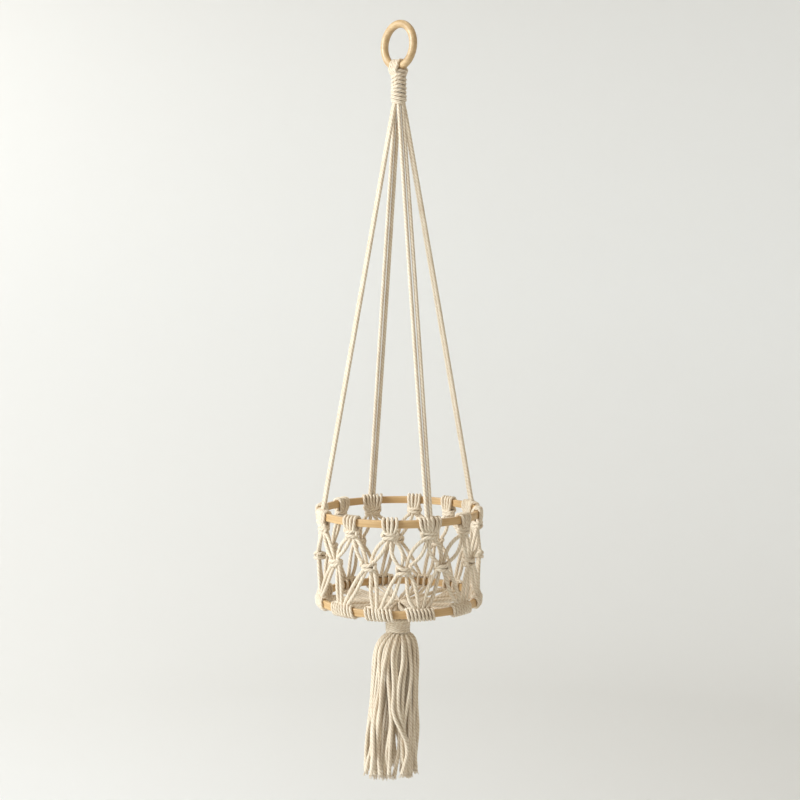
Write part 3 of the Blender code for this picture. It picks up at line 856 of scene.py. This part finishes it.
def addEnds():
    lines, outer = endLines()
    z, r = lines[..., 2], np.hypot(lines[..., 0], lines[..., 1])
    gathered = smoothstep(34 * mm, 12 * mm, r) * smoothstep(neckBox[0].z - 14 * mm, neckBox[0].z - 1 * mm, z)
    onHoop = smoothstep(86 * mm, 90 * mm, r) * (z > neckBox[1].z)
    radius = cord["radius"] + (cord["hitched"] - cord["radius"]) * onHoop - 0.75 * mm * gathered
    phase = dice.uniform(0, 6, endCount)
    # cut each line where it passes to another piece: off the hoop, at the turn down, at the pivot
    # and inside the neck
    inwards = r < hoopMiddle - 8 * mm
    cuts = [
        np.zeros(endCount, int),
        inwards.argmax(axis=1),
        (inwards & (r < ends["meet"] + 6 * mm)).argmax(axis=1),
        (inwards & (z < pivotZ)).argmax(axis=1),
        (inwards & (z < neckBox[1].z - 6 * mm)).argmax(axis=1),
        np.full(endCount, lines.shape[1] - 1),
    ]

    def stretch(members, part, fray=False):
        made = []
        for m in members:
            a, b = cuts[part][m], cuts[part + 1][m] + 1
            turn = phase[m] - 2 * np.pi * lengthOf(lines[m, : a + 1]) / cord["lay"]
            made.append(cordSurface(lines[m : m + 1, a:b], radius[m : m + 1, a:b], turn, fray))
        return made

    for k in range(groups):
        piece = addCords(f"lower_hitches_{k + 1:02d}", stretch(range(4 * k, 4 * k + 4), 0))
        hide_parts(f"lower_knot_{k + 1:02d}")
        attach(piece, "lower_basket")
    addTips(lines)
    everyCord = range(endCount)
    piece = addCords("base_cords", stretch(everyCord, 1))
    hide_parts("base_web")
    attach(piece, "lower_basket")
    piece = addCords("gathered_cords_above", stretch(everyCord, 2))
    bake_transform(piece)
    piece = addCords("gathered_cords_below", stretch(everyCord, 3))
    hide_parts("tassel_root")
    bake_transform(piece)
    piece = addCords("tassel_inner_cords", stretch(np.flatnonzero(~outer), 4, True))
    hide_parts("tassel_skirt")
    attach(piece, "tassel")
    for number, m in enumerate(np.flatnonzero(outer), 1):
        piece = addCords(f"tassel_cord_{number:02d}", stretch([m], 4, True))
        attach(piece, "tassel")


# the tassel's neck

neckWrap = {
    "turns": 5.2,
    "left": 1.2 * mm,  # how far off the middle it sits
    "low": 1.5 * mm,  # and under the frame's neck
}


def addNeck():
    # A helix of cord, five turns high, with its two ends tucked in.
    top, bottom = neckBox[1].z - cord["tight"], neckBox[0].z + cord["tight"] - 1.5 * mm
    t = np.linspace(0, 1, int(neckWrap["turns"] * 60))
    a = 2 * np.pi * neckWrap["turns"] * t + 2.6
    tuck = 1 - smoothstep(0, 0.03, t) * smoothstep(1, 0.97, t)
    around = neckBox[1].x - cord["tight"] - 3.0 * mm * tuck + 0.2 * mm * np.sin(1.7 * a)
    z = top + (bottom - top) * t + 0.35 * mm * np.sin(a + 5 * t) - neckWrap["low"]
    line = np.stack([around * np.cos(a) - neckWrap["left"], around * np.sin(a), z], axis=-1)[None]
    piece = addCords("neck_winding", [cordSurface(evenly(line), cord["tight"])])
    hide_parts("tassel_neck")
    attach(piece, "tassel")


# studio

studio = {
    "paper": (0.82, 0.825, 0.815, 1),
    "floorBelow": 0.6,  # under the tassel's tip
    "radius": 3.6,
    "cove": 1.2,  # radius of the curve from the floor into the wall
    "wallHigh": 3.1,
    "columns": 96,
    "air": (1.0, 0.79, 0.52, 1),  # the light that comes from all sides, and how strong it is
    "airStrength": 0.235,
}


def addStudio():
    # A round bowl of paper: a flat floor that curves up into a wall, as a profile turned about Z.
    floor = skirtBox[0].z - studio["floorBelow"]
    cove, columns = np.radians(np.linspace(0, 90, 25)), studio["columns"]
    flat = studio["radius"] - studio["cove"]
    profile = [(0.001, 0)] + [(flat * s, 0) for s in (0.2, 0.4, 0.6, 0.8)]
    profile += [(flat + studio["cove"] * math.sin(a), studio["cove"] * (1 - math.cos(a))) for a in cove]
    profile += [(studio["radius"], studio["wallHigh"])]
    profile = np.array(profile)
    a = 2 * np.pi * np.arange(columns)[None] / columns
    r, z = profile[:, :1], profile[:, 1:] + floor
    points = np.stack([r * np.cos(a), r * np.sin(a), z + 0 * a], axis=-1)
    mesh = bpy.data.meshes.new("paper_bowl")
    index = np.arange(len(points) * columns).reshape(-1, columns)
    index = np.concatenate([index, index[:, :1]], axis=1)
    quads = np.stack([index[:-1, :-1], index[1:, :-1], index[1:, 1:], index[:-1, 1:]], axis=-1).reshape(-1, 4)
    mesh.from_pydata(points.reshape(-1, 3).tolist(), [], quads.tolist() + [index[0, :-1].tolist()])
    mesh.shade_smooth()
    n = Nodes("studio_paper")
    n.link(n.shader, "Base_Color", studio["paper"])
    n.link(n.shader, "Roughness", 0.95)
    mesh.materials.append(n.material)
    bowl = bpy.data.objects.new("paper_bowl", mesh)
    bpy.context.scene.collection.objects.link(bowl)


lights = {
    # name: place, aimed at, width, height, watts, colour
    "window": ((-2.35, -0.95, 0.55), (0, 0, -0.45), 0.8, 1.1, 94, (0.875, 0.955, 1.03)),
    "front": ((0.9, -2.6, 0.9), (0, 0, -0.45), 1.6, 1.2, 4, (1.0, 0.88, 0.72)),
    "above": ((0.2, 0.4, 2.3), (0, 0, -0.5), 2.6, 2.6, 22, (1.0, 0.95, 0.87)),
    "paper left": ((-1.9, 1.3, 0.7), (-0.9, 3.5, -0.2), 1.2, 1.2, 25, (1.0, 0.985, 0.96)),
}


def addLights():
    for name, (place, aim, wide, high, watts, colour) in lights.items():
        lamp = bpy.data.lights.new(name, "AREA")
        lamp.shape, lamp.size, lamp.size_y = "RECTANGLE", wide, high
        lamp.energy, lamp.color = watts, colour
        obj = bpy.data.objects.new(name, lamp)
        obj.location = place
        away = obj.location - type(obj.location)(aim)
        obj.rotation_euler = away.to_track_quat("Z", "Y").to_euler()
        obj.visible_camera = False
        bpy.context.scene.collection.objects.link(obj)
    world = bpy.data.worlds.new("soft_room")
    world.use_nodes = True
    background = world.node_tree.nodes["Background"]
    background.inputs["Color"].default_value = studio["air"]
    background.inputs["Strength"].default_value = studio["airStrength"]
    bpy.context.scene.world = world
    bpy.context.scene.view_settings.view_transform = "Standard"


view = {
    "lens": 60.5,
    "place": (0.0015, -1.645, -0.324),
    "pitch": 4.32,  # degrees down from level
}


def addCamera():
    camera = bpy.data.cameras.new("camera")
    camera.lens = view["lens"]
    camera.sensor_width = 36
    obj = bpy.data.objects.new("camera", camera)
    obj.location = view["place"]
    obj.rotation_euler.x = math.radians(90 - view["pitch"])
    bpy.context.scene.collection.objects.link(obj)
    bpy.context.scene.camera = obj


addCamera()
addRing()
addLoops()
addWrap()
addLegs()
print("ring, loops, wrap and legs made")
addHoop("upper_hoop_strip", "upper_hoop", upperZ, "upper_basket", 0.4)
addHoop("lower_hoop_strip", "lower_hoop", lowerZ, "lower_basket", 2.1)
addUpperKnots()
addNet()
print("hoops, upper knots and net made")
addEnds()
addNeck()
print("cord ends and tassel made")
addStudio()
addLights()
